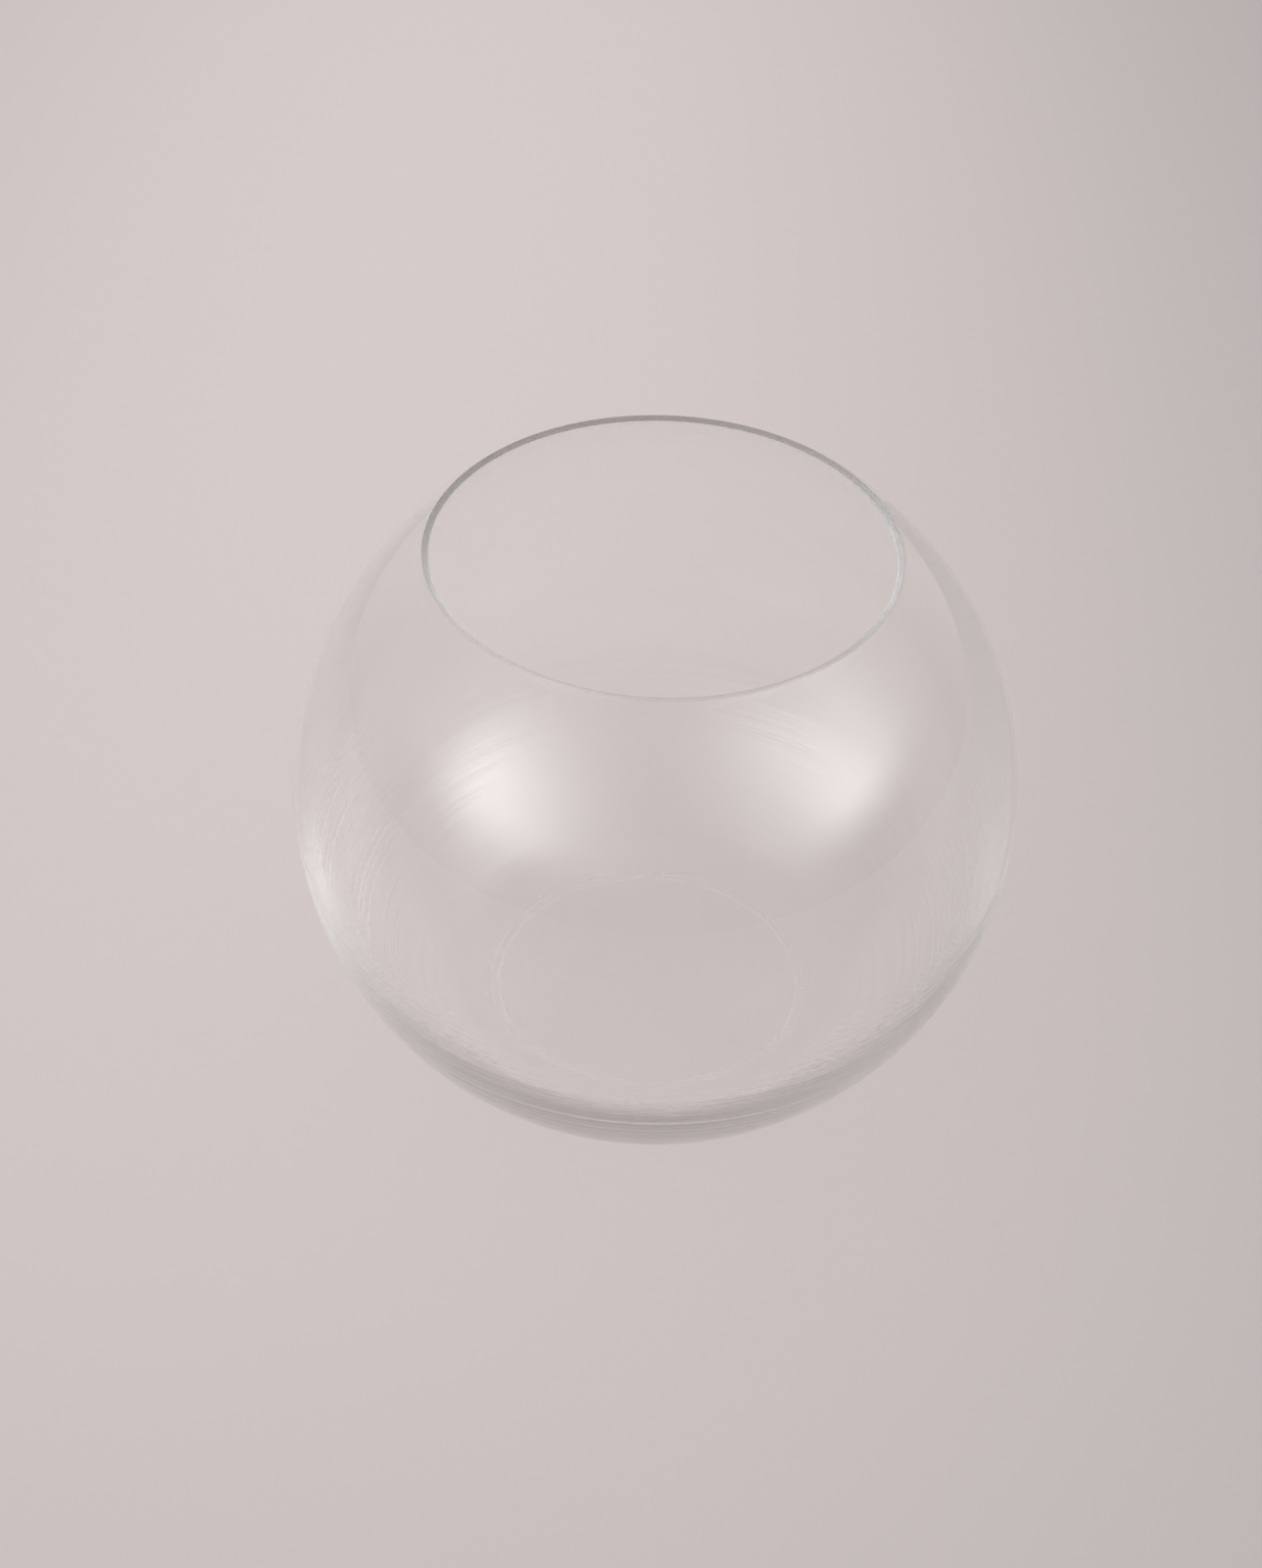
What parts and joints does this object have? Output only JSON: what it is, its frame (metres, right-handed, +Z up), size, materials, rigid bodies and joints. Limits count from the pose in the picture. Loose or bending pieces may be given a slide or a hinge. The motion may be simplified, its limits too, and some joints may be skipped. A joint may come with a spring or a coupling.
{
  "type": "rose bowl vase",
  "caption": "Clear blown-glass rose bowl: a round body with a thin wall and a wide flat-cut mouth, on a heavier heel and floor with a shallow push-up, for cut flowers in water.",
  "frame": {"origin": "centre of the standing plane, on the bowl's axis", "axes": "+Z up along the bowl's axis, out of the mouth; X and Y are equal because the bowl is round"},
  "size_m": [0.15, 0.15, 0.1217],
  "materials": {
    "clear_glass": "clear and polished, with a finely ground rim and a worn standing ring"
  },
  "bodies": {
    "root": {"glass_bowl": "clear_glass"}
  },
  "joints": []
}
